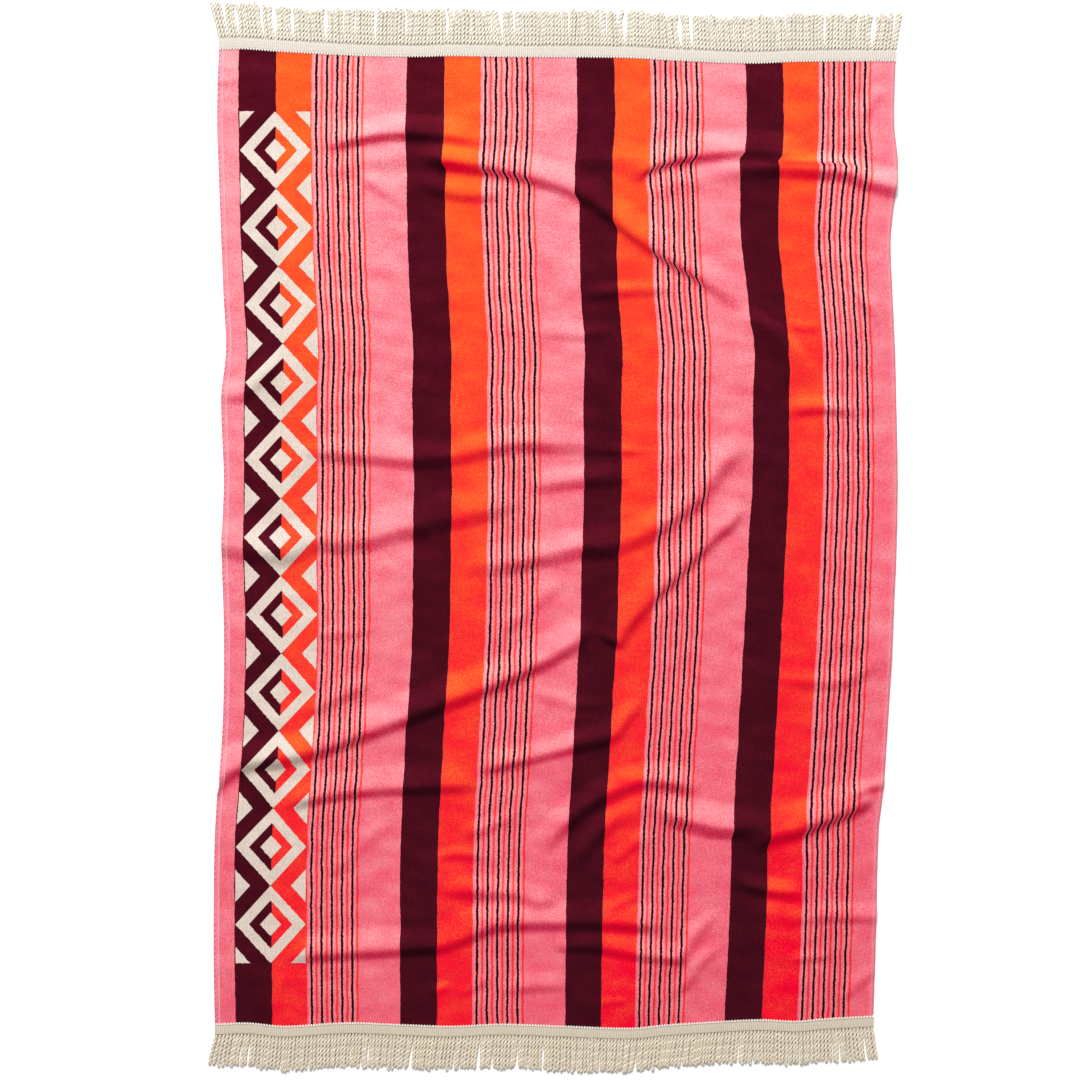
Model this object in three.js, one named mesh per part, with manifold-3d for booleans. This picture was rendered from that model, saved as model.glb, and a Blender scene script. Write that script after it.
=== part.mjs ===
// A fringed beach bath sheet of cotton velour terry, lying open on a flat surface.
// Millimetres, +Z up. X runs across the sheet, Y along it, with the top end at +Y.
// The origin is under the middle of the whole sheet, on the surface that it lies on.

import * as THREE from "three";
import { mergeVertices } from "three/addons/utils/BufferGeometryUtils.js";
import Module from "manifold-3d";

const wasm = await Module();
wasm.setup();

// Cloth: "across" is measured on the cloth from its left edge, "y" on the surface
const CLOTH_THICKNESS = 3;
const LEFT_MARGIN = 30;
const REPEAT = 250;
const LAST_REPEAT = 223;
const STRIPE_LINES = [0, 1, 2, 3].map((i) => LEFT_MARGIN + i * REPEAT);
const CLOTH_WIDTH = STRIPE_LINES[3] + LAST_REPEAT;
const UNDER_TAPE = 12;

// Fringe trim: a header tape sewn over each end, with its row of cords
const TAPE_WIDTH = 17;
const TAPE_THICKNESS = 1.4;
const GAP = 0.3;
const CORDS = 150;
const CORD_WIDTH = 4.6;
const CORD_HEIGHT = 4;
const CORD_TIP_SIZE = 0.8;
const CORD_SIDE_ROOM = 3;
// A cord starts inside the tape's outer edge, narrower there, and drops to the surface within a short way
const ROOT_DEPTH = 2;
const ROOT_WIDTH = 2.8;
const ROOT_INSET = 0.2;
const CORD_DROP = 8;

// Mesh: cells across each stripe repeat, and rows along the cloth
const CELLS_IN_MARGIN = 1;
const CELLS_IN_REPEAT = 6;
const CELLS_IN_LAST = 5;
const ROWS = 88;
const PATH_STEPS = 40;

// Folds lower than this lie flat
const FLAT_BELOW = 0.4;
// The ends stay flat under the tapes, and the folds rise from there on
const END_FLAT = 8;
const END_RISE = 45;

// Where the left edge, the four stripe lines and the right edge lie on the surface
const OUTLINE = [
  { y: 740, x: [-497, -468, -218, 31, 280, 505] },
  { y: 607, x: [-500, -468, -221, 33, 283, 502] },
  { y: 533, x: [-498, -467, -220, 30, 275, 507] },
  { y: 451, x: [-494, -465, -218, 36, 275, 497] },
  { y: 370, x: [-491, -461, -215, 38, 284, 499] },
  { y: 281, x: [-487, -456, -210, 44, 294, 503] },
  { y: 207, x: [-494, -460, -211, 42, 293, 505] },
  { y: 89, x: [-490, -460, -209, 43, 292, 507] },
  { y: -15, x: [-493, -461, -210, 40, 286, 505] },
  { y: -133, x: [-490, -458, -211, 37, 280, 500] },
  { y: -252, x: [-491, -460, -218, 30, 273, 494] },
  { y: -355, x: [-497, -466, -224, 24, 267, 487] },
  { y: -437, x: [-503, -473, -228, 19, 262, 479] },
  { y: -577, x: [-505, -474, -229, 16, 257, 475] },
  { y: -740, x: [-503, -472, -229, 15, 249, 470] },
];

// The inner edge of each header tape
const TOP_END = [
  { across: 0, y: 724 },
  { across: 35, y: 725 },
  { across: 93, y: 721 },
  { across: 218, y: 714.5 },
  { across: 300, y: 713.5 },
  { across: 342, y: 714.7 },
  { across: 431, y: 713.2 },
  { across: 600, y: 712 },
  { across: 680, y: 707.8 },
  { across: 786, y: 703.7 },
  { across: 860, y: 706.2 },
  { across: 1003, y: 707 },
];
const BOTTOM_END = [
  { across: 0, y: -714.5 },
  { across: 49, y: -713.1 },
  { across: 103, y: -717.8 },
  { across: 176, y: -713.7 },
  { across: 213, y: -712.6 },
  { across: 286, y: -715.6 },
  { across: 359, y: -717.8 },
  { across: 432, y: -714.8 },
  { across: 523, y: -717.5 },
  { across: 633, y: -720.8 },
  { across: 687, y: -716 },
  { across: 760, y: -711.6 },
  { across: 833, y: -708.2 },
  { across: 888, y: -710.4 },
  { across: 925, y: -707.1 },
  { across: 1003, y: -702.7 },
];

// How far the mesh rows lean along Y from the left edge to the right one, to run with the folds
const ROW_LEAN = [
  { down: 0, lean: 0 },
  { down: 0.2, lean: -170 },
  { down: 0.4, lean: 20 },
  { down: 0.6, lean: 250 },
  { down: 0.8, lean: 120 },
  { down: 0.92, lean: 0 },
  { down: 1, lean: 0 },
];

// Each fold is a ridge. Its path, from left to right as [across, y], is the middle of its steep
// lower side, which is "steep" wide. The upper side reaches the surface "gentle" above the path.
// Lengths "fadeIn" and "fadeOut" are where it rises from the flat and sinks back.
const FOLDS = [
  {
    name: "upper left",
    path: [[165, 580], [248, 594], [335, 591], [425, 577]],
    height: 9, steep: 15, gentle: 42, fadeIn: 70, fadeOut: 80,
  },
  {
    name: "long upper",
    path: [[285, 566], [341, 551], [434, 537], [534, 504], [619, 439], [712, 379], [785, 325]],
    height: 11, steep: 18, gentle: 48, fadeIn: 60, fadeOut: 120,
  },
  {
    name: "below long upper",
    path: [[286, 533], [326, 511], [381, 503], [439, 510]],
    height: 5, steep: 15, gentle: 37, fadeIn: 40, fadeOut: 60,
  },
  {
    name: "tail of long upper",
    path: [[756, 324], [798, 307], [840, 268], [872, 218]],
    height: 6, steep: 30, gentle: 40, fadeIn: 40, fadeOut: 60,
  },
  {
    name: "upper right",
    path: [[618, 520], [630, 535], [650, 548], [700, 560], [780, 568], [840, 563], [885, 557]],
    height: 10, steep: 16, gentle: 46, fadeIn: 30, fadeOut: 70,
  },
  {
    name: "right edge",
    path: [[720, 529], [780, 532], [850, 526], [930, 527], [1003, 511]],
    height: 11, steep: 20, gentle: 40, fadeIn: 110, fadeOut: 0,
  },
  {
    name: "middle left",
    path: [[100, 127], [205, 117], [310, 111], [391, 127], [440, 135], [534, 131], [600, 128]],
    height: 7, steep: 18, gentle: 42, fadeIn: 60, fadeOut: 130,
  },
  {
    name: "centre left",
    path: [[0, -18], [88, -32], [141, -12], [191, -13], [276, 8], [405, 39], [465, 64]],
    height: 9, steep: 20, gentle: 60, fadeIn: 0, fadeOut: 90,
  },
  {
    name: "above the centre",
    path: [[440, 70], [500, 78], [560, 83], [615, 79]],
    height: 6, steep: 16, gentle: 36, fadeIn: 50, fadeOut: 50,
  },
  {
    name: "centre right",
    path: [[335, -50], [434, -42], [519, -22], [576, -19], [648, 12], [705, 56], [752, 117], [790, 130]],
    height: 9, steep: 20, gentle: 46, fadeIn: 100, fadeOut: 50,
  },
  {
    name: "slanting right",
    path: [[588, -165], [619, -116], [676, -57], [734, 2], [755, 20], [777, 62]],
    height: 9, steep: 17, gentle: 50, fadeIn: 20, fadeOut: 50,
  },
  {
    name: "long slanting",
    path: [[0, -372], [31, -342], [120, -326], [219, -293], [319, -255], [405, -222], [491, -181],
      [534, -152], [575, -118]],
    height: 11, steep: 18, gentle: 52, fadeIn: 0, fadeOut: 80,
  },
  {
    name: "lower left",
    path: [[90, -402], [176, -382], [276, -373], [400, -369]],
    height: 8, steep: 16, gentle: 46, fadeIn: 50, fadeOut: 50,
  },
  {
    name: "lower middle",
    path: [[380, -349], [448, -333], [534, -311], [591, -296], [615, -267], [650, -220]],
    height: 8, steep: 15, gentle: 36, fadeIn: 50, fadeOut: 70,
  },
  {
    name: "lower arch",
    path: [[500, -475], [519, -438], [569, -394], [634, -365], [680, -366], [730, -385]],
    height: 9, steep: 17, gentle: 42, fadeIn: 60, fadeOut: 50,
  },
  {
    name: "lower right, inner",
    path: [[655, -408], [700, -421], [770, -435], [835, -430]],
    height: 11, steep: 20, gentle: 50, fadeIn: 50, fadeOut: 50,
  },
  {
    name: "lower right, outer",
    path: [[810, -470], [840, -447], [880, -436], [930, -417], [970, -400], [995, -385]],
    height: 11, steep: 20, gentle: 58, fadeIn: 40, fadeOut: 20,
  },
  {
    name: "below lower right",
    path: [[775, -506], [810, -518], [850, -526], [912, -531]],
    height: 6, steep: 15, gentle: 32, fadeIn: 40, fadeOut: 50,
  },
  {
    name: "near bottom, short",
    path: [[330, -528], [391, -526], [450, -530], [490, -540], [528, -530]],
    height: 5, steep: 15, gentle: 36, fadeIn: 60, fadeOut: 30,
  },
  {
    name: "near bottom, long",
    path: [[90, -624], [191, -617], [276, -611], [348, -606], [405, -583], [450, -573], [576, -573],
      [700, -578]],
    height: 8, steep: 16, gentle: 48, fadeIn: 80, fadeOut: 60,
  },
  {
    name: "bottom right of middle",
    path: [[500, -608], [569, -607], [648, -620], [735, -626]],
    height: 6, steep: 15, gentle: 38, fadeIn: 40, fadeOut: 40,
  },
];
// The upper side starts to fall this share of "steep" above the path
const CREST = 0.25;

// Cords: their length, and how far the tips lean sideways, at places across the end
const TOP_CORDS = [
  { across: 0, length: 58, lean: -12 },
  { across: 20, length: 57, lean: -8 },
  { across: 120, length: 53, lean: -2 },
  { across: 260, length: 57, lean: 3 },
  { across: 400, length: 55, lean: -3 },
  { across: 560, length: 56, lean: 2 },
  { across: 700, length: 55, lean: -3 },
  { across: 850, length: 57, lean: 1 },
  { across: 980, length: 56, lean: 4 },
  { across: 1003, length: 56, lean: 8 },
];
const BOTTOM_CORDS = [
  { across: 0, length: 48, lean: -10 },
  { across: 20, length: 49, lean: -7 },
  { across: 150, length: 52, lean: -3 },
  { across: 350, length: 50, lean: -6 },
  { across: 550, length: 52, lean: -2 },
  { across: 700, length: 49, lean: -6 },
  { across: 850, length: 50, lean: -1 },
  { across: 980, length: 50, lean: 5 },
  { across: 1003, length: 50, lean: 10 },
];
const LENGTH_JITTER = 3;
const LEAN_JITTER = 0.6;

const cottonVelour = new THREE.MeshStandardMaterial({ color: 0xf07890, roughness: 0.95, metalness: 0 });
const cottonTrim = new THREE.MeshStandardMaterial({ color: 0xe6dfce, roughness: 0.9, metalness: 0 });

// A value between the rows of a table, on a smooth curve through them
function smoothValue(rows, key, at, value) {
  const last = rows.length - 1;
  const rising = rows[last][key] > rows[0][key];
  let i = 0;
  while (i < last - 1 && (rising ? rows[i + 1][key] < at : rows[i + 1][key] > at)) i += 1;
  const from = rows[i][key];
  const to = rows[i + 1][key];
  const t = THREE.MathUtils.clamp((at - from) / (to - from), 0, 1);
  const slope = (k) => {
    const a = Math.max(k - 1, 0);
    const b = Math.min(k + 1, last);
    return (value(rows[b]) - value(rows[a])) / (rows[b][key] - rows[a][key]);
  };
  const span = to - from;
  const t2 = t * t;
  const t3 = t2 * t;
  return (2 * t3 - 3 * t2 + 1) * value(rows[i]) + (t3 - 2 * t2 + t) * span * slope(i)
    + (3 * t2 - 2 * t3) * value(rows[i + 1]) + (t3 - t2) * span * slope(i + 1);
}

const endLine = (rows, across) => smoothValue(rows, "across", across, (row) => row.y);

// X on the surface of a point of the cloth
function surfaceX(across, y) {
  const marks = [0, ...STRIPE_LINES, CLOTH_WIDTH];
  let i = 0;
  while (i < marks.length - 2 && across > marks[i + 1]) i += 1;
  const t = (across - marks[i]) / (marks[i + 1] - marks[i]);
  const left = smoothValue(OUTLINE, "y", y, (row) => row.x[i]);
  const right = smoothValue(OUTLINE, "y", y, (row) => row.x[i + 1]);
  return THREE.MathUtils.lerp(left, right, t);
}

// A fold's path as evenly spaced points, with the whole length
function layPath(fold) {
  const curve = new THREE.SplineCurve(fold.path.map(([across, y]) => new THREE.Vector2(across, y)));
  return { ...fold, points: curve.getSpacedPoints(PATH_STEPS), length: curve.getLength() };
}

// Height that one fold gives at a place: steep on its lower side, gentle on its upper side
function ridgeHeight(fold, across, y) {
  const place = new THREE.Vector2(across, y);
  let best = { distance: Infinity };
  for (let i = 0; i < PATH_STEPS; i += 1) {
    const start = fold.points[i];
    const step = fold.points[i + 1].clone().sub(start);
    const offset = place.clone().sub(start);
    const t = THREE.MathUtils.clamp(offset.dot(step) / step.lengthSq(), 0, 1);
    const distance = offset.clone().addScaledVector(step, -t).length();
    if (distance < best.distance) {
      best = { distance, above: step.cross(offset) > 0, along: ((i + t) / PATH_STEPS) * fold.length };
    }
  }
  const signed = best.above ? best.distance : -best.distance;
  const rise = THREE.MathUtils.smoothstep(signed, -fold.steep / 2, fold.steep / 2);
  const fall = 1 - THREE.MathUtils.smoothstep(signed, CREST * fold.steep, fold.gentle);
  const fadeIn = fold.fadeIn ? THREE.MathUtils.smoothstep(best.along, 0, fold.fadeIn) : 1;
  const fadeOut = fold.fadeOut ? THREE.MathUtils.smoothstep(fold.length - best.along, 0, fold.fadeOut) : 1;
  return fold.height * rise * fall * fadeIn * fadeOut;
}

const laidFolds = FOLDS.map(layPath);

// Height of the cloth's underside over the surface
function undersideHeight(across, y) {
  const sum = laidFolds.reduce((total, fold) => total + ridgeHeight(fold, across, y), 0);
  const fromTop = endLine(TOP_END, across) - END_FLAT - y;
  const fromBottom = y - endLine(BOTTOM_END, across) - END_FLAT;
  const ends = THREE.MathUtils.smoothstep(Math.min(fromTop, fromBottom), 0, END_RISE);
  return Math.max(0, sum * ends - FLAT_BELOW);
}

// Places of the mesh columns across the cloth
function clothColumns() {
  const columns = [0];
  const add = (width, cells) => {
    const start = columns.at(-1);
    for (let i = 1; i <= cells; i += 1) columns.push(start + (width * i) / cells);
  };
  add(LEFT_MARGIN, CELLS_IN_MARGIN);
  for (let i = 0; i < 3; i += 1) add(REPEAT, CELLS_IN_REPEAT);
  add(LAST_REPEAT, CELLS_IN_LAST);
  return columns;
}

// One closed sheet: an upper and a lower grid with the same folds, joined round the rim
function clothGeometry() {
  const columns = clothColumns();
  const wide = columns.length;
  const points = [];
  for (let row = 0; row <= ROWS; row += 1) {
    const down = row / ROWS;
    const lean = smoothValue(ROW_LEAN, "down", down, (r) => r.lean);
    for (const across of columns) {
      const top = endLine(TOP_END, across) + UNDER_TAPE;
      const bottom = endLine(BOTTOM_END, across) - UNDER_TAPE;
      const y = THREE.MathUtils.lerp(top, bottom, down) + lean * (across / CLOTH_WIDTH - 0.5);
      points.push([surfaceX(across, y), y, undersideHeight(across, y)]);
    }
  }
  const under = points.length;
  const positions = [
    ...points.flatMap(([x, y, z]) => [x, y, z + CLOTH_THICKNESS]),
    ...points.flat(),
  ];
  const faces = [];
  const quad = (a, b, c, d) => faces.push(a, b, c, a, c, d);
  for (let row = 0; row < ROWS; row += 1) {
    for (let column = 0; column < wide - 1; column += 1) {
      const a = row * wide + column;
      const [b, c, d] = [a + wide, a + wide + 1, a + 1];
      const crossesAC = Math.abs(points[a][2] - points[c][2]) > Math.abs(points[b][2] - points[d][2]);
      if (crossesAC) {
        quad(b, c, d, a);
        quad(under + d, under + c, under + b, under + a);
      } else {
        quad(a, b, c, d);
        quad(under + a, under + d, under + c, under + b);
      }
    }
  }
  for (let row = 0; row < ROWS; row += 1) {
    const left = row * wide;
    const right = left + wide - 1;
    quad(left, under + left, under + left + wide, left + wide);
    quad(right, right + wide, under + right + wide, under + right);
  }
  for (let column = 0; column < wide - 1; column += 1) {
    const bottom = ROWS * wide + column;
    quad(column, column + 1, under + column + 1, under + column);
    quad(bottom, under + bottom, under + bottom + 1, bottom + 1);
  }
  const geometry = new THREE.BufferGeometry();
  geometry.setAttribute("position", new THREE.Float32BufferAttribute(positions, 3));
  geometry.setIndex(faces);
  return geometry;
}

// A closed solid through sections of the same number of points, each counter-clockwise seen from its
// end towards its start
function loft(sections) {
  const sides = sections[0].length;
  const faces = [];
  for (let i = 0; i < sections.length - 1; i += 1) {
    for (let k = 0; k < sides; k += 1) {
      const a = i * sides + k;
      const b = i * sides + ((k + 1) % sides);
      faces.push(a, b, b + sides, a, b + sides, a + sides);
    }
  }
  const last = (sections.length - 1) * sides;
  for (let k = 1; k < sides - 1; k += 1) {
    faces.push(0, k + 1, k);
    faces.push(last, last + k, last + k + 1);
  }
  const geometry = new THREE.BufferGeometry();
  geometry.setAttribute("position", new THREE.Float32BufferAttribute(sections.flat(2), 3));
  geometry.setIndex(faces);
  return geometry;
}

function toSolid(geometry) {
  const merged = mergeVertices(geometry);
  return new wasm.Manifold(new wasm.Mesh({
    numProp: 3,
    vertProperties: merged.attributes.position.array,
    triVerts: new Uint32Array(merged.index.array),
  }));
}

function toGeometry(solid) {
  const mesh = solid.getMesh();
  const geometry = new THREE.BufferGeometry();
  geometry.setAttribute("position", new THREE.BufferAttribute(mesh.vertProperties, 3));
  geometry.setIndex(new THREE.BufferAttribute(mesh.triVerts, 1));
  return geometry;
}

// The header tape, flat on the cloth's end, with a section at each place of the end's table
function tapeGeometry(end, outward) {
  const low = CLOTH_THICKNESS + GAP;
  const high = low + TAPE_THICKNESS;
  const sections = end.map(({ across, y }) => {
    const x = surfaceX(across, y);
    const edges = [y, y + outward * TAPE_WIDTH];
    const [near, far] = [Math.min(...edges), Math.max(...edges)];
    return [[x, near, low], [x, far, low], [x, far, high], [x, near, high]];
  });
  return loft(sections);
}

// A repeatable number from -1 to 1
function jitter(index, kind) {
  const wave = Math.sin(index * 12.9898 + kind * 78.233) * 43758.5453;
  return 2 * (wave - Math.floor(wave)) - 1;
}

// A place on the tape's outer edge, which runs straight between the tape's sections
function tapeEdge(end, across, outward) {
  let i = 0;
  while (i < end.length - 2 && across > end[i + 1].across) i += 1;
  const [from, to] = [end[i], end[i + 1]];
  const t = (across - from.across) / (to.across - from.across);
  return {
    x: THREE.MathUtils.lerp(surfaceX(from.across, from.y), surfaceX(to.across, to.y), t),
    y: THREE.MathUtils.lerp(from.y, to.y, t) + outward * TAPE_WIDTH,
  };
}

// One three-sided cord, from inside the tape's outer edge down to the surface, where it lies level
function cordGeometry(index, end, cords, outward) {
  const share = (index + 0.5) / CORDS;
  const across = THREE.MathUtils.lerp(CORD_SIDE_ROOM, CLOTH_WIDTH - CORD_SIDE_ROOM, share);
  const root = tapeEdge(end, across, outward);
  const usualLean = smoothValue(cords, "across", across, (row) => row.lean);
  const usualLength = smoothValue(cords, "across", across, (row) => row.length);
  const lean = usualLean + LEAN_JITTER * jitter(index, 1);
  const length = usualLength + LENGTH_JITTER * jitter(index, 2);
  const tapeLow = CLOTH_THICKNESS + GAP;
  const stations = [
    { out: -ROOT_DEPTH, width: ROOT_WIDTH, low: tapeLow + ROOT_INSET, high: tapeLow + TAPE_THICKNESS - ROOT_INSET },
    { out: CORD_DROP, width: CORD_WIDTH, low: 0, high: CORD_HEIGHT },
    { out: length, width: CORD_TIP_SIZE * CORD_WIDTH, low: 0, high: CORD_TIP_SIZE * CORD_HEIGHT },
  ];
  const sections = stations.map(({ out, width, low, high }) => {
    const x = root.x + (lean * out) / length;
    const y = root.y + outward * out;
    const half = (outward * width) / 2;
    return [[x - half, y, low], [x, y, high], [x + half, y, low]];
  });
  return loft(sections);
}

function fringeGeometry(end, cords, outward) {
  const solids = [toSolid(tapeGeometry(end, outward))];
  for (let index = 0; index < CORDS; index += 1) {
    solids.push(toSolid(cordGeometry(index, end, cords, outward)));
  }
  return toGeometry(solids.reduce((joined, solid) => joined.add(solid)));
}

function namedMesh(name, geometry, material) {
  const mesh = new THREE.Mesh(geometry, material);
  geometry.computeVertexNormals();
  mesh.name = name;
  return mesh;
}

const sheet = new THREE.Group();
sheet.add(namedMesh("cloth", clothGeometry(), cottonVelour));
sheet.add(namedMesh("fringe_top", fringeGeometry(TOP_END, TOP_CORDS, 1), cottonTrim));
sheet.add(namedMesh("fringe_bottom", fringeGeometry(BOTTOM_END, BOTTOM_CORDS, -1), cottonTrim));

// The middle of the whole sheet goes over the origin
const middle = new THREE.Box3().setFromObject(sheet).getCenter(new THREE.Vector3());
sheet.position.set(-middle.x, -middle.y, 0);

export default sheet;
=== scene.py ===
# A fringed beach bath sheet of cotton velour terry, laid open on a pale floor and seen from above.
# Metres. "across" and "y" are places on the sheet: across from its left edge, y up from its middle.
import math
from collections import namedtuple

import bpy
import numpy as np
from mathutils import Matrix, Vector


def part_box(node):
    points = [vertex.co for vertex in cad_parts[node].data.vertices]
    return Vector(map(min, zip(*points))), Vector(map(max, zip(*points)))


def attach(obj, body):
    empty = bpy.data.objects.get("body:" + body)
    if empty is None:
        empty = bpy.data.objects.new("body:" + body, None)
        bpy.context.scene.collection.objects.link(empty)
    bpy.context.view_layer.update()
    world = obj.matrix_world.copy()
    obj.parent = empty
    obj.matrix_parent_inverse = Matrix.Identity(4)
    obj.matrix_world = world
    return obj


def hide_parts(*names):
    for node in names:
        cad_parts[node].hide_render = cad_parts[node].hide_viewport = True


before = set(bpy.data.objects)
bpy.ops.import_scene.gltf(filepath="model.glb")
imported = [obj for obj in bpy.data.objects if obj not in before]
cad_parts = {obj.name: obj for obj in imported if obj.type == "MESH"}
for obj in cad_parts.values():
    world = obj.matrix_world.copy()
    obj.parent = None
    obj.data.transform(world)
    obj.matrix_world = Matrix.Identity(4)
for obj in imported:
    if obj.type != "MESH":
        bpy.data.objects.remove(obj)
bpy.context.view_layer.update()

RANDOM_SEED = 7

# Cloth
THICKNESS = 0.003
LEFT_MARGIN = 0.030
REPEAT = 0.250
LAST_REPEAT = 0.223
STRIPE_LINES = [LEFT_MARGIN + i * REPEAT for i in range(4)]
WIDTH = STRIPE_LINES[3] + LAST_REPEAT
UNDER_TAPE = 0.012
HEM = 0.0075
HEM_RISE = 0.0007
HEM_STEP = (HEM - 0.0008, HEM + 0.0010)
RIM_ROUND = 0.0025
RIM_HEIGHT = 0.0008
RIM_DASH_PITCH = 0.0084

# Mesh of the cloth: its columns near each side, where the even ones start, its cells across and
# along, and how many of them go to one cell of the underside each way
SIDE_COLUMNS = [0, 0.0004, 0.0012, 0.0025, 0.0045, 0.0062, 0.0070, 0.0075, 0.0081, 0.0095, 0.0120]
EVEN_COLUMNS_FROM = 0.0165
COLUMNS = 180
ROWS = 420
COARSER = 2

# Stripes, from the start of each repeat
DARK_STRIPE = 0.056
ORANGE_STRIPE = 0.0531
PINSTRIPES = 5
PINSTRIPE_START = 0.1160
PINSTRIPE_PITCH = 0.01545
PINSTRIPE_WIDTH = 0.0036
FLANK_WIDTH = 0.0046
THREAD_OFFSET = 0.0077
THREAD_WIDTH = 0.0030
THREAD_SOFT = 0.0009
BESIDE_LINES = 0.006
BESIDE_THREADS = 0.004
CRISP = 0.0004

# Fringe trim. A cord rests on the floor, but for its tip's lift. Over ROOT_REACH it grows from ROOT_THIN
# of its size to all of it, and its middle rises from ROOT_HEIGHT to its radius. Its first waist lies
# FIRST_WAIST from its root.
TAPE_WIDTH = 0.017
TAPE_THICKNESS = 0.0014
GAP = 0.0003
CORDS = 190
CORD_RADIUS = 0.0028
CORD_TURN = 0.0134
FIRST_WAIST = 0.005
CORD_RINGS = 46
CORD_SIDES = 12
CORD_UV_TURN = 0.98
YARNS = 10
YARN_PITCH = 0.0028
ROOT_REACH = 0.008
ROOT_THIN = 0.78
CORD_ROOT_INSET = 0.0015
ROOT_HEIGHT = 0.0022
TIP_ROUND = 1.2
TIP_SHARE = 0.03
PLY_GROOVE = 0.56
TURN_SPREAD = 0.03
START_SPREAD = 0.35
LEAST_SQUEEZE = 0.3
LEAST_LIFT = 0.2
TAPE_STEPS = 1600
TAPE_RIB_PITCH = 0.0030
SCALLOP_PITCH = 0.0042
STITCH_PITCH = 0.0036

# The cloth swells a little off the floor and its face ripples, less and less within CALM of the tapes
Waves = namedtuple("Waves", "length count seed")
SWELL = 0.0016
BROAD_SWELLS = Waves(0.17, 7, 1)
SMALL_SWELLS = Waves(0.085, 9, 3)
SMALL_SHARE = 0.6
RIPPLE = 0.00028
RIPPLES = Waves(0.032, 9, 2)
CALM = 0.03

# Painted highlight on slopes that face this side, where the light comes from, and painted shade on slopes
# that face away, in full at this slope
PAINTED_LIGHT_SIDE = (-0.10, 0.99)
PAINTED_SHADING_SLOPE = 0.8

# Folds lower than this lie flat; the ends stay flat under the tapes
FLAT_BELOW = 0.0004
END_FLAT = 0.008
END_RISE = 0.045
PLAN_STEPS = 400
PATH_STEPS = 40
SPLINE_STEPS = 12

# Where the left edge, the four stripe lines and the right edge lie on the surface, at each y
OUTLINE_Y = [-0.740, -0.577, -0.437, -0.355, -0.252, -0.133, -0.015, 0.089,
             0.207, 0.281, 0.370, 0.451, 0.554, 0.618, 0.740]
OUTLINE_X = [
    (-0.503, -0.472, -0.229, 0.015, 0.249, 0.47),
    (-0.505, -0.474, -0.229, 0.016, 0.257, 0.475),
    (-0.503, -0.473, -0.228, 0.019, 0.262, 0.479),
    (-0.497, -0.466, -0.224, 0.024, 0.267, 0.487),
    (-0.491, -0.46, -0.218, 0.03, 0.273, 0.494),
    (-0.49, -0.458, -0.211, 0.037, 0.28, 0.5),
    (-0.493, -0.461, -0.21, 0.04, 0.286, 0.505),
    (-0.49, -0.46, -0.209, 0.043, 0.292, 0.507),
    (-0.494, -0.46, -0.211, 0.042, 0.293, 0.505),
    (-0.487, -0.456, -0.21, 0.044, 0.294, 0.503),
    (-0.491, -0.461, -0.215, 0.038, 0.284, 0.499),
    (-0.494, -0.465, -0.218, 0.036, 0.275, 0.497),
    (-0.498, -0.467, -0.22, 0.03, 0.275, 0.507),
    (-0.5, -0.468, -0.221, 0.033, 0.283, 0.502),
    (-0.497, -0.468, -0.218, 0.031, 0.28, 0.505),
]

# The inner edge of each header tape, as (across, y)
TOP_END = [(0, 0.724), (0.035, 0.725), (0.093, 0.721), (0.218, 0.7145), (0.3, 0.7135), (0.342, 0.7147),
           (0.431, 0.7132), (0.6, 0.712), (0.68, 0.7078), (0.786, 0.7037), (0.86, 0.7062),
           (1.003, 0.707)]
BOTTOM_END = [(0, -0.7145), (0.049, -0.7131), (0.103, -0.7178), (0.176, -0.7137), (0.213, -0.7126),
              (0.286, -0.7156), (0.359, -0.7178), (0.432, -0.7148), (0.523, -0.7175), (0.633, -0.7208),
              (0.687, -0.716), (0.76, -0.7116), (0.833, -0.7082), (0.888, -0.7104), (0.925, -0.7071),
              (1.003, -0.7027)]

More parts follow.
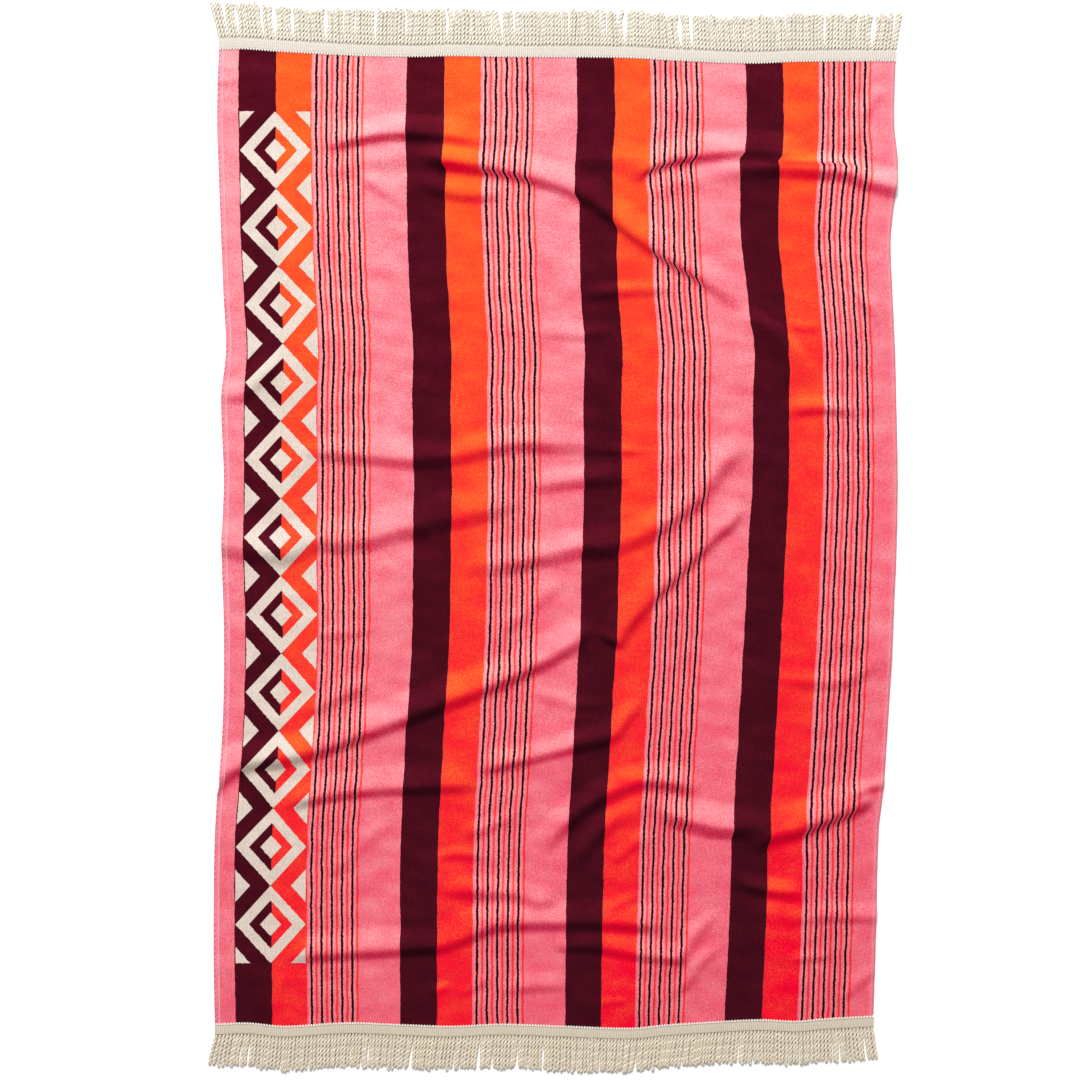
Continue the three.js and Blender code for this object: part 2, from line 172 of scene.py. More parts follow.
# Each fold is a ridge. Its path, from left to right as (across, y), is the middle of its steep lower
# side, "steep" wide; the upper side reaches the floor "gentle" above the path. "foot" is a low swell
# along the bottom of the steep side. The fold rises over "fade_in" and sinks back over "fade_out". Just
# above its steep side the cloth lies "slip" to the right of the cloth just below it.
Fold = namedtuple("Fold", "height steep gentle foot fade_in fade_out slip path")
FOLDS = {
    "upper left": Fold(0.0105, 0.017, 0.042, 0.0038, 0.05, 0.08, 0, (
        (0.148, 0.573), (0.248, 0.594), (0.335, 0.591), (0.425, 0.577))),
    "long upper": Fold(0.0115, 0.024, 0.048, 0.001, 0.06, 0.12, -0.007, (
        (0.285, 0.566), (0.341, 0.551), (0.434, 0.537), (0.534, 0.504), (0.619, 0.439), (0.712, 0.379),
        (0.785, 0.325))),
    "below long upper": Fold(0.006, 0.018, 0.037, 0, 0.04, 0.06, 0, (
        (0.286, 0.533), (0.326, 0.511), (0.381, 0.503), (0.439, 0.51))),
    "tail of long upper": Fold(0.008, 0.052, 0.04, 0, 0.04, 0.06, -0.004, (
        (0.75, 0.32), (0.792, 0.303), (0.834, 0.264), (0.866, 0.214))),
    "upper right": Fold(0.0105, 0.02, 0.046, 0.0038, 0.03, 0.07, 0.008, (
        (0.618, 0.52), (0.63, 0.535), (0.65, 0.548), (0.7, 0.56), (0.78, 0.568), (0.84, 0.563),
        (0.885, 0.557))),
    "right edge": Fold(0.0115, 0.022, 0.04, 0.001, 0.11, 0, 0, (
        (0.72, 0.534), (0.78, 0.541), (0.835, 0.542), (0.88, 0.539), (0.93, 0.535), (0.96, 0.522),
        (1.003, 0.512))),
    "right edge, crisp": Fold(0.003, 0.006, 0.012, 0, 0.03, 0.02, -0.0035, (
        (0.82, 0.556), (0.89, 0.556), (0.955, 0.554))),
    "middle left": Fold(0.008, 0.024, 0.042, 0, 0.06, 0.13, 0, (
        (0.1, 0.127), (0.205, 0.117), (0.31, 0.111), (0.391, 0.127), (0.44, 0.135), (0.534, 0.131),
        (0.6, 0.128))),
    "centre left": Fold(0.0095, 0.028, 0.06, 0, 0, 0.09, 0, (
        (0, -0.018), (0.088, -0.032), (0.141, -0.012), (0.191, -0.013), (0.276, 0.008), (0.405, 0.039),
        (0.465, 0.064))),
    "above the centre": Fold(0.0065, 0.022, 0.036, 0, 0.05, 0.05, 0, (
        (0.44, 0.07), (0.5, 0.078), (0.56, 0.083), (0.615, 0.079))),
    "centre right": Fold(0.01, 0.028, 0.046, 0, 0.1, 0.05, 0.002, (
        (0.335, -0.05), (0.434, -0.042), (0.519, -0.022), (0.576, -0.019), (0.648, 0.012),
        (0.705, 0.056), (0.752, 0.117), (0.79, 0.13))),
    "slanting right": Fold(0.0105, 0.022, 0.05, 0.001, 0.012, 0.05, 0.003, (
        (0.588, -0.165), (0.619, -0.116), (0.676, -0.057), (0.734, 0.002), (0.755, 0.02), (0.777, 0.062))),
    "long slanting": Fold(0.012, 0.025, 0.052, 0, 0, 0.08, 0.003, (
        (0, -0.372), (0.031, -0.342), (0.12, -0.326), (0.219, -0.293), (0.319, -0.255), (0.405, -0.222),
        (0.491, -0.181), (0.534, -0.152), (0.575, -0.118))),
    "lower left": Fold(0.009, 0.02, 0.046, 0, 0.05, 0.05, 0, (
        (0.09, -0.402), (0.176, -0.382), (0.276, -0.373), (0.4, -0.369))),
    "lower middle": Fold(0.008, 0.018, 0.036, 0, 0.05, 0.07, 0, (
        (0.38, -0.349), (0.448, -0.333), (0.534, -0.311), (0.591, -0.296), (0.615, -0.267), (0.65, -0.22))),
    "lower arch": Fold(0.01, 0.022, 0.042, 0.0032, 0.06, 0.05, 0, (
        (0.5, -0.475), (0.519, -0.438), (0.569, -0.394), (0.634, -0.365), (0.68, -0.366), (0.73, -0.385))),
    "lower right, inner": Fold(0.0125, 0.026, 0.05, 0, 0.05, 0.05, 0.003, (
        (0.655, -0.408), (0.7, -0.421), (0.77, -0.435), (0.835, -0.43))),
    "lower right, outer": Fold(0.0125, 0.028, 0.058, 0, 0.04, 0.02, 0.006, (
        (0.81, -0.47), (0.84, -0.447), (0.88, -0.436), (0.93, -0.417), (0.97, -0.4), (0.995, -0.385))),
    "below lower right": Fold(0.007, 0.017, 0.032, 0.0025, 0.04, 0.05, 0, (
        (0.775, -0.506), (0.81, -0.518), (0.85, -0.526), (0.912, -0.531))),
    "near bottom, short": Fold(0.0062, 0.02, 0.036, 0.001, 0.06, 0.03, 0, (
        (0.33, -0.528), (0.391, -0.526), (0.45, -0.53), (0.49, -0.54), (0.528, -0.53))),
    "near bottom, long": Fold(0.009, 0.02, 0.048, 0, 0.08, 0.06, 0, (
        (0.09, -0.624), (0.191, -0.617), (0.276, -0.611), (0.348, -0.606), (0.405, -0.583),
        (0.45, -0.573), (0.576, -0.573), (0.7, -0.578))),
    "bottom right of middle": Fold(0.0068, 0.018, 0.038, 0, 0.04, 0.04, 0, (
        (0.5, -0.608), (0.569, -0.607), (0.648, -0.62), (0.735, -0.626))),
}

# Small creases, as (height, steep, gentle, path): like folds, but each rises and sinks back over
# CREASE_FADE of its length
CREASE_FADE = 0.35
CREASES = {
    "left edge, top": (0.0035, 0.016, 0.026, ((-0.03, 0.67), (0, 0.672), (0.045, 0.676))),
    "upper corner": (0.004, 0.016, 0.028, ((0.945, 0.57), (0.965, 0.63), (1, 0.672))),
    "upper middle": (0.0045, 0.03, 0.046, ((0.51, 0.551), (0.575, 0.552), (0.64, 0.551))),
    "below upper left": (0.0038, 0.018, 0.03, ((0.195, 0.543), (0.235, 0.515), (0.285, 0.483))),
    "right of middle": (0.0055, 0.018, 0.026, ((0.515, 0.351), (0.56, 0.358), (0.6, 0.362), (0.68, 0.366))),
    "middle": (0.0038, 0.018, 0.03, ((0.44, 0.304), (0.52, 0.297), (0.595, 0.306))),
    "beside the tail": (0.0035, 0.014, 0.022, ((0.828, 0.322), (0.86, 0.308), (0.9, 0.314))),
    "right, thin": (0.0042, 0.012, 0.026, ((0.9, 0.46), (0.93, 0.385), (0.958, 0.342), (0.985, 0.295))),
    "right, short": (0.0072, 0.018, 0.03, ((0.815, 0.178), (0.86, 0.187), (0.905, 0.188), (0.955, 0.179))),
    "left edge": (0.006, 0.02, 0.04, (
        (-0.035, 0.202), (0, 0.206), (0.031, 0.209), (0.06, 0.235), (0.105, 0.29))),
    "after middle left": (0.003, 0.01, 0.02, ((0.52, 0.129), (0.575, 0.127), (0.64, 0.127))),
    "middle slant": (0.0035, 0.022, 0.034, ((0.38, -0.172), (0.462, -0.105), (0.53, -0.048))),
    "left of middle": (0.0032, 0.018, 0.026, ((0.125, -0.15), (0.18, -0.144), (0.24, -0.139))),
    "above long slanting": (0.0055, 0.022, 0.036, ((0.11, -0.27), (0.176, -0.239), (0.24, -0.211))),
    "below long slanting": (0.0035, 0.02, 0.028, ((0.445, -0.226), (0.525, -0.249), (0.595, -0.251))),
    "right, low": (0.005, 0.022, 0.034, ((0.81, -0.208), (0.898, -0.218), (0.955, -0.208), (1, -0.16))),
    "left, low": (0.0035, 0.024, 0.036, ((0.17, -0.512), (0.221, -0.464), (0.275, -0.412))),
    "under lower middle": (0.0035, 0.018, 0.028, ((0.36, -0.452), (0.41, -0.43), (0.475, -0.405))),
    "under it": (0.0035, 0.014, 0.022, ((0.325, -0.481), (0.36, -0.47), (0.41, -0.477))),
    "under arch": (0.0045, 0.02, 0.03, ((0.535, -0.5), (0.584, -0.439), (0.625, -0.403))),
    "under arch, right": (0.0035, 0.016, 0.026, ((0.59, -0.487), (0.625, -0.463), (0.66, -0.432))),
    "right edge, small": (0.005, 0.014, 0.024, ((0.945, -0.389), (0.97, -0.375), (1.02, -0.362))),
    "right of short": (0.0032, 0.016, 0.024, ((0.585, -0.556), (0.62, -0.541), (0.655, -0.524))),
    "right bottom": (0.005, 0.018, 0.034, ((0.85, -0.57), (0.95, -0.563), (1.08, -0.567))),
    "bottom slant, upper": (0.005, 0.02, 0.028, (
        (0.69, -0.64), (0.72, -0.61), (0.74, -0.58), (0.775, -0.545))),
    "bottom slant, lower": (0.0045, 0.018, 0.026, (
        (0.695, -0.69), (0.73, -0.65), (0.737, -0.635), (0.76, -0.615), (0.785, -0.593))),
    "bottom, first": (0.003, 0.014, 0.02, ((0.322, -0.679), (0.34, -0.671), (0.362, -0.661))),
    "bottom, second": (0.0032, 0.014, 0.022, ((0.37, -0.682), (0.395, -0.666), (0.422, -0.648))),
    "bottom, third": (0.0048, 0.018, 0.032, ((0.43, -0.686), (0.462, -0.668), (0.55, -0.664))),
    "bottom, fourth": (0.003, 0.012, 0.018, ((0.575, -0.69), (0.605, -0.689), (0.635, -0.691))),
    "bottom, fifth": (0.0035, 0.014, 0.024, ((0.865, -0.627), (0.905, -0.623), (0.945, -0.618))),
    "bottom corner": (0.004, 0.018, 0.03, ((0.945, -0.705), (0.985, -0.66), (1.02, -0.632))),
    "left edge, bottom": (0.0035, 0.012, 0.02, ((0.098, -0.715), (0.102, -0.675), (0.106, -0.635))),
}

# The crest lies CREST of the steep side above the path, and a foot's middle FOOT_BELOW under it. The
# slip takes place over SLIP_CORE of the steep side either way, and fades within SLIP_REACH.
CREST = 0.25
FOOT_BELOW = 0.030
FOOT_WIDTH = 0.015
SLIP_CORE = 0.25
SLIP_REACH = 0.06
FOLD_REACH = 0.07

# How far the cord tips lean sideways, and how long the cords are, as (across, lean, length)
TOP_CORDS = [(0, -0.013, 0.058), (0.02, -0.009, 0.057), (0.12, -0.002, 0.053), (0.26, 0.003, 0.057),
             (0.4, -0.003, 0.055), (0.56, 0.002, 0.056), (0.7, -0.003, 0.055), (0.85, 0.001, 0.057),
             (0.98, 0.006, 0.056), (1.003, 0.012, 0.056)]
BOTTOM_CORDS = [(0, -0.01, 0.048), (0.02, -0.007, 0.049), (0.15, -0.003, 0.052), (0.35, -0.006, 0.05),
                (0.55, -0.002, 0.052), (0.7, -0.006, 0.049), (0.85, -0.001, 0.05), (0.98, 0.005, 0.05),
                (1.003, 0.01, 0.05)]
Disorder = namedtuple("Disorder", "squeeze tuft_lean cord_lean bow length lift")
TOP_DISORDER = Disorder(0.004, 0.0005, 0.0009, 0.0012, 0.0015, 0.002)
BOTTOM_DISORDER = Disorder(0.004, 0.0005, 0.0007, 0.0008, 0.0014, 0.0014)
TUFT_SIZES = (8, 10, 12, 14, 17, 20)

# Where the cords part, as (across, how wide halfway out, how wide at the tips). It moves the cords
# beside it too, less and less over PARTING_REACH.
TOP_PARTINGS = [(0.016, 0.002, 0.005), (0.034, 0.0075, 0.001), (0.068, 0.003, 0.004), (0.087, 0.007, 0.002),
                (0.11, 0.007, 0.001), (0.157, 0.007, 0.003), (0.184, 0.003, 0.002), (0.203, 0.0015, 0),
                (0.232, 0.005, 0.004), (0.247, 0.002, 0.001), (0.259, 0.0025, 0), (0.336, 0.005, 0.003),
                (0.349, 0.001, 0.005), (0.366, 0.004, 0), (0.397, 0.0005, 0.004), (0.42, 0.003, 0.008),
                (0.438, 0.001, 0.003), (0.591, 0.002, 0.007), (0.604, 0.005, 0.001), (0.687, 0.0075, 0.001),
                (0.702, 0.006, 0.005), (0.838, 0.002, 0.004), (0.897, 0.005, 0.003), (0.928, 0.001, 0.003),
                (0.968, 0.007, 0.002), (0.981, 0.002, 0.001)]
BOTTOM_PARTINGS = [(0.011, 0, 0.003), (0.04, 0.002, 0), (0.052, 0.003, 0), (0.145, 0, 0.003),
                   (0.207, 0.003, 0.002), (0.222, 0.001, 0.007), (0.234, 0.003, 0), (0.299, 0.004, 0.006),
                   (0.403, 0.004, 0.006), (0.422, 0.001, 0.005), (0.459, 0.003, 0.009), (0.497, 0.004, 0),
                   (0.645, 0, 0.005), (0.706, 0.002, 0.003), (0.719, 0.003, 0.004), (0.826, 0, 0.006)]
PARTING_REACH = 0.010

# Each end's trim: its tape's inner edge, which way is out, its cords, and how deep its scallops are
Trim = namedtuple("Trim", "edge outward cords partings disorder scallop")
TRIMS = {
    "top": Trim(TOP_END, 1, TOP_CORDS, TOP_PARTINGS, TOP_DISORDER, 0.0028),
    "bottom": Trim(BOTTOM_END, -1, BOTTOM_CORDS, BOTTOM_PARTINGS, BOTTOM_DISORDER, 0.0018),
}

# A header tape's section, as (how far out, how high, whether it follows the scallops), the first two in
# shares of its width and thickness
TAPE_PROFILE = [
    (0.03, 0.05, True), (0, 0.35, True), (0, 0.70, True), (0.03, 0.95, True), (0.10, 1, True),
    (0.20, 0.80, False), (0.26, 0.75, False), (0.34, 0.85, False), (0.60, 0.85, False),
    (0.85, 0.90, False), (0.96, 0.85, False), (1, 0.60, False), (1, 0.30, False), (0.97, 0, False),
]

# The woven border over the first pair of wide stripes
BORDER_MIDDLE = LEFT_MARGIN + 0.0545
BORDER_HALF_WIDTH = 0.053
BORDER_CENTRE = 0.004
BORDER_PITCH = 0.1145
BORDER_REPEATS = 11

# Its motifs, in shares of half a lozenge: the ring's middle and half width, the heart, the points
LOZENGE = (0.81, 0.19)
HEART = 0.30
POINT = 0.42
BORDER_SOFT = 0.012

# Pile colours, linear: at the sheet's lower and upper end, painted shade on slopes facing away from the
# light, and painted highlight on slopes facing it
Pile = namedtuple("Pile", "lower upper deep pale")
PINK = Pile((0.73, 0.105, 0.155), (0.73, 0.238, 0.278), (0.68, 0.014, 0.075), (0.78, 0.41, 0.43))
ORANGE = Pile((0.76, 0.001, 0.026), (0.78, 0.088, 0.014), (0.78, 0.0002, 0.026), (0.8, 0.175, 0.024))
MAROON = Pile((0.046, 0.0028, 0.008), (0.065, 0.0026, 0.009), (0.026, 0.0012, 0.005),
              (0.13, 0.006, 0.018))
LINE = Pile((0.026, 0.0003, 0.0012), (0.03, 0.0003, 0.0014), (0.014, 0.0002, 0.0008), (0.052, 0.001, 0.003))
FLANK = Pile((0.74, 0.19, 0.22), (0.78, 0.32, 0.34), (0.69, 0.06, 0.12), (0.8, 0.43, 0.45))
THREAD = Pile((0.7, 0.02, 0.03), (0.77, 0.07, 0.035), (0.64, 0.002, 0.02), (0.8, 0.15, 0.07))
CREAM = Pile((0.61, 0.51, 0.44), (0.63, 0.545, 0.49), (0.46, 0.36, 0.31), (0.69, 0.62, 0.57))

# Painted light: the paler upper colours show more to the upper end, where the light is brighter, by the first
# of these a metre, and to the left, by the second
PAINTED_LIGHT_UP = 0.58
PAINTED_LIGHT_LEFT = 0.28
PAINTED_LIGHT_POWER = 1.6

# Noise in the materials: with features of about 1/scale metres, and its amount
Grain = namedtuple("Grain", "scale amount detail roughness", defaults=(2.0, 0.5))
STRIPE_TOOTH = Grain(420.0, 0.0004)
STRIPE_WOBBLE = Grain(34.0, 0.0009)
LINE_RAGGED = Grain(300.0, 0.0006)
BORDER_RAGGED = Grain(170.0, 0.00055)
PAINTED_LIGHT_PATCHES = Grain(9.0, 0.1)
PILE_TUFTS = Grain(210.0, 0.25, 2.0, 0.6)
PILE_SPECKS = Grain(620.0, 0.9, 2.0, 0.7)
ROUGH_PATCHES = Grain(7.0, 0.35)
WEAVE_GRAIN = Grain(520.0, 0.19)
PEBBLES = Grain(120.0, 0.5, 1.0)
HEM_STRETCHES = Grain(14.0, 1.5)
TAPE_WAVER = Grain(90.0, 0.0004)

# Noise drawn out along the sheet or across it: its two scales, its detail, and its amount
Streaks = namedtuple("Streaks", "across along detail amount")
NAP_CLOUDS = Streaks(22.0, 34.0, 3.0, 0.31)
RIBS = Streaks(620.0, 60.0, 2.0, 1.0)
RIB_SHADE = 0.10

# The relief of the two faces: the scale and depth of the pile, and the shares of its parts
Relief = namedtuple("Relief", "scale depth")
SHEARED = Relief(900.0, 0.0004)
LOOPED = Relief(520.0, 0.0009)
PILE_RELIEF = 0.5
RIB_RELIEF = 0.3
BORDER_RELIEF = 1.2
STITCH_RELIEF = 0.6

# Lines along the edges: their middle's distance from the edge, half their width, softness, strength
EdgeLine = namedtuple("EdgeLine", "place half soft strength")
LEFT_TINT = EdgeLine(0.0, HEM, 0.0008, 0.35)
RIGHT_TINT = EdgeLine(0.0, HEM, 0.0008, 0.25)
LEFT_LINE = EdgeLine(HEM, 0.0006, 0.001, 0.75)
RIGHT_LINE = EdgeLine(HEM - 0.0025, 0.0004, 0.001, 0.3)
RIM_DASHES = EdgeLine(0.0015, 0.002, 0.001, 0.75)
RIGHT_RIM_SHADE = EdgeLine(0.0, 0.0007, 0.0006, 0.6)
HEM_STITCHES = EdgeLine(0.0063, 0.0004, 0.0006, 0.6)
TAPE_SEAM = EdgeLine(0.0038, 0.0004, 0.0006, 0.35)
TAPE_RIM = EdgeLine(0.0, 0.0026, 0.001, 0.8)
HEM_TINT = (0.8, 0.3, 0.37)
HEM_LIGHT = (0.82, 0.42, 0.5)
HEM_SHADE = (0.4, 0.06, 0.12)
RIM_PAINTED_SHADE = (0.48, 0.36, 0.38)

# Cotton colours of the trims, linear: light, deep, and in the shadow of seams, notches and plies
Cotton = namedtuple("Cotton", "light deep shadow")
# The bottom tape's colours are darker than the top's: painted falloff of the light towards the lower end
TAPE_COTTON = {
    "top": Cotton((0.71, 0.665, 0.6), (0.49, 0.45, 0.395), (0.34, 0.28, 0.2)),
    "bottom": Cotton((0.67, 0.6, 0.49), (0.47, 0.4, 0.31), (0.28, 0.2, 0.12)),
}
TAPE_BEAD = (0.83, 0.8, 0.76)
CORD_COTTON = {
    "top": Cotton((0.84, 0.8, 0.72), (0.71, 0.65, 0.55), (0.44, 0.34, 0.2)),
    "bottom": Cotton((0.86, 0.79, 0.67), (0.73, 0.64, 0.5), (0.42, 0.29, 0.15)),
}
FLOOR_COLOUR = (0.95, 0.95, 0.95)
FLOOR_SIZE = 8.0

# The photograph's square: its side and middle on the sheet's plane, seen by a long lens
PHOTO_SIDE = 1.5984
PHOTO_MIDDLE = (-0.0222, 0.0)
LENS = 100.0
SENSOR = 36.0

Light = namedtuple("Light", "place size power colour")
KEY_LIGHT = Light((-0.9, 4.3, 5.6), 3.0, 620.0, (1.0, 0.985, 0.96))
WORLD_COLOUR = (1.0, 1.0, 1.0)
WORLD_STRENGTH = 0.45


def smooth_through(knots, values, at):
    """Values on a smooth curve through a table's rows, with rising knots."""
    knots = np.asarray(knots, float)
    values = np.asarray(values, float)
    at = np.clip(at, knots[0], knots[-1])
    i = np.clip(np.searchsorted(knots, at) - 1, 0, len(knots) - 2)
    before = np.maximum(np.arange(len(knots)) - 1, 0)
    after = np.minimum(np.arange(len(knots)) + 1, len(knots) - 1)
    slope = (values[after] - values[before]) / (knots[after] - knots[before])
    span = knots[i + 1] - knots[i]
    t = (at - knots[i]) / span
    return ((2 * t**3 - 3 * t**2 + 1) * values[i] + (t**3 - 2 * t**2 + t) * span * slope[i]
            + (3 * t**2 - 2 * t**3) * values[i + 1] + (t**3 - t**2) * span * slope[i + 1])


def smooth_step(value, low, high):
    t = np.clip((value - low) / (high - low), 0, 1)
    return t * t * (3 - 2 * t)


def end_line(end, across):
    return smooth_through([a for a, _ in end], [y for _, y in end], across)


def cloth_y(across, down):
    """Y of a point of the cloth, with "down" from 0 at its upper end to 1 at its lower end."""
    top = end_line(TOP_END, across) + UNDER_TAPE
    bottom = end_line(BOTTOM_END, across) - UNDER_TAPE
    return top + down * (bottom - top)


def from_tapes(across, y):
    """How far a point lies from the nearer tape's inner edge, positive between the tapes."""
    return np.minimum(end_line(TOP_END, across) - y, y - end_line(BOTTOM_END, across))


def surface_x(across, y):
    """X on the surface of a point of the cloth, before the folds shift it."""
    marks = [0.0, *STRIPE_LINES, WIDTH]
    columns = np.array(OUTLINE_X).T
    places = np.stack([smooth_through(OUTLINE_Y, column, y) for column in columns])
    i = np.clip(np.searchsorted(marks, across) - 1, 0, len(marks) - 2)
    marks = np.array(marks)
    t = (across - marks[i]) / (marks[i + 1] - marks[i])
    left = np.take_along_axis(places, i[None], 0)[0]
    right = np.take_along_axis(places, i[None] + 1, 0)[0]
    return left + t * (right - left)


def spline(points, steps):
    """Evenly spaced points on a smooth curve through the given ones, and the curve's length."""
    p = np.array(points, float)
    p = np.vstack([p[0], p, p[-1]])
    t = np.linspace(0, 1, SPLINE_STEPS, endpoint=False)[:, None]
    pieces = []
    for a, b, c, d in zip(p[:-3], p[1:-2], p[2:-1], p[3:]):
        pieces.append(b + 0.5 * t * (c - a + t * (2 * a - 5 * b + 4 * c - d + t * (3 * (b - c) + d - a))))
    line = np.vstack([*pieces, p[-1:]])
    along = np.concatenate([[0], np.cumsum(np.linalg.norm(np.diff(line, axis=0), axis=1))])
    at = np.linspace(0, along[-1], steps + 1)
    return np.stack([np.interp(at, along, line[:, k]) for k in range(2)], axis=1), along[-1]


def from_fold(fold, across, y):
    """For each point: its distance from the fold's path, positive above it, and the fold's strength there."""
    line, length = spline(fold.path, PATH_STEPS)
    best = np.full(across.shape, np.inf)
    signed = np.zeros(across.shape)
    along = np.zeros(across.shape)
    for i, (start, end) in enumerate(zip(line[:-1], line[1:])):
        step = end - start
        dx, dy = across - start[0], y - start[1]
        t = np.clip((dx * step[0] + dy * step[1]) / (step @ step), 0, 1)
        distance = np.hypot(dx - t * step[0], dy - t * step[1])
        nearer = distance < best
        best = np.where(nearer, distance, best)
        signed = np.where(nearer, np.sign(step[0] * dy - step[1] * dx) * distance, signed)
        along = np.where(nearer, (i + t) / PATH_STEPS * length, along)
    strength = np.ones(across.shape)
    if fold.fade_in:
        strength = strength * smooth_step(along, 0, fold.fade_in)
    if fold.fade_out:
        strength = strength * smooth_step(length - along, 0, fold.fade_out)
    return signed, strength


def crease_fold(crease):
    height, steep, gentle, path = crease
    fade = CREASE_FADE * spline(path, PATH_STEPS)[1]
    return Fold(height, steep, gentle, 0, fade, fade, 0, path)


def fold_fields(across, y):
    """The folds' height over the surface, and their sideways shift, at each point of the cloth."""
    height = np.zeros(across.shape)
    shift = np.zeros(across.shape)
    for fold in [*FOLDS.values(), *map(crease_fold, CREASES.values())]:
        xs, ys = zip(*fold.path)
        reach = fold.gentle + FOLD_REACH
        near = ((across > min(xs) - reach) & (across < max(xs) + reach)
                & (y > min(ys) - reach) & (y < max(ys) + reach))
        signed, strength = from_fold(fold, across[near], y[near])
        rise = smooth_step(signed, -fold.steep / 2, fold.steep / 2)
        fall = 1 - smooth_step(signed, CREST * fold.steep, fold.gentle)
        foot = np.exp(-(((signed + FOOT_BELOW) / FOOT_WIDTH) ** 2))
        height[near] += strength * (fold.height * rise * fall + fold.foot * foot)
        if fold.slip:
            narrow = smooth_step(signed, -SLIP_CORE * fold.steep, SLIP_CORE * fold.steep)
            wide = smooth_step(signed, -SLIP_REACH, SLIP_REACH)
            shift[near] += fold.slip * strength * (narrow - wide)
    ends = smooth_step(from_tapes(across, y) - END_FLAT, 0, END_RISE)
    return np.maximum(0, height * ends - FLAT_BELOW), shift


def wave_field(across, y, waves):
    """A smooth field of about -1 to 1, made of waves around the given length, longer across the sheet."""
    rng = np.random.default_rng(waves.seed)
    total = np.zeros(across.shape)
    for _ in range(waves.count):
        angle, phase = rng.uniform(0, 2 * math.pi, 2)
        length = waves.length * rng.uniform(0.7, 1.5)
        place = 0.5 * across * math.cos(angle) + y * math.sin(angle)
        total += np.sin(2 * math.pi * place / length + phase)
    return total / math.sqrt(waves.count)


def edge_profile(from_side, calm):
    """Height over the underside near a side edge: the rounded rim and the hem's low step."""
    rim = np.sqrt(np.clip(1 - (1 - np.clip(from_side / RIM_ROUND, 0, 1)) ** 2, 0, 1))
    hem = calm * HEM_RISE * (1 - smooth_step(from_side, *HEM_STEP))
    return RIM_HEIGHT + (THICKNESS - RIM_HEIGHT + hem) * rim


def painted_slope_shading(x, y, height):
    """Painted shading from the slopes: up to 1, painted highlight, where the cloth faces the upper end and
    the light; down to -1, painted shade, where it faces away.
    """
    down_rows = np.gradient(height, axis=0) / np.gradient(y, axis=0)
    over_columns = np.gradient(height, axis=1) / np.gradient(x, axis=1)
    slope = -(down_rows * PAINTED_LIGHT_SIDE[1] + over_columns * PAINTED_LIGHT_SIDE[0])
    return np.clip(slope / PAINTED_SHADING_SLOPE, -1, 1)


def cloth_columns():
    side = np.array(SIDE_COLUMNS)
    even = np.linspace(EVEN_COLUMNS_FROM, WIDTH - EVEN_COLUMNS_FROM, COLUMNS - 2 * len(side) + 1)
    return np.concatenate([side, even, (WIDTH - side)[::-1]])


def lay_cloth(across, down):
    """Places of the upper and lower face, for columns across and rows down the cloth."""
    across, down = np.meshgrid(across, down)
    y = cloth_y(across, down)
    underside, shift = fold_fields(across, y)
    x = surface_x(across, y) + shift
    from_side = np.minimum(across, WIDTH - across)
    calm = smooth_step(from_tapes(across, y), 0, CALM)
    swell = wave_field(across, y, BROAD_SWELLS) + SMALL_SHARE * wave_field(across, y, SMALL_SWELLS)
    underside = underside + calm * SWELL * np.log1p(np.exp(2 * swell)) / 2
    ripple = calm * RIPPLE * wave_field(across, y, RIPPLES)
    upper = underside + edge_profile(from_side, calm) + ripple
    return across, x, y, upper, underside


def add_object(name, data):
    added = bpy.data.objects.new(name, data)
    bpy.context.scene.collection.objects.link(added)
    return added


def mesh_object(name, vertices, faces, materials, uv=None, smooth=True):
    mesh = bpy.data.meshes.new(name)
    mesh.from_pydata([tuple(v) for v in vertices], [], faces)
    for material in materials:
        mesh.materials.append(material)
    if uv is not None:
        layer = mesh.uv_layers.new(name="Cloth")
        corners = np.zeros(len(mesh.loops), np.int32)
        mesh.loops.foreach_get("vertex_index", corners)
        layer.uv.foreach_set("vector", np.asarray(uv, np.float32)[corners].ravel())
    mesh.polygons.foreach_set("use_smooth", [smooth] * len(mesh.polygons))
    mesh.update()
    return add_object(name, mesh)


def quads(a, b, c, d):
    """Four-cornered faces from grids of their first, second, third and fourth corners."""
    return np.stack([a, b, c, d], -1).reshape(-1, 4)


def rim_face(fine, coarse, i, turned):
    """One face of the sheet's rim, between its face's fine edge and its underside's coarser one."""
    along = fine[COARSER * i:COARSER * (i + 1) + 1].tolist()
    ends = coarse[i:i + 2].tolist()
    return [*along[::-1], *ends] if turned else [*along, *ends[::-1]]


def rim_faces(number, low):
    faces = []
    for i in range(low.shape[1] - 1):
        faces.append(rim_face(number[0], low[0], i, turned=False))
        faces.append(rim_face(number[-1], low[-1], i, turned=True))
    for i in range(low.shape[0] - 1):
        faces.append(rim_face(number[:, 0], low[:, 0], i, turned=True))
        faces.append(rim_face(number[:, -1], low[:, -1], i, turned=False))
    return faces


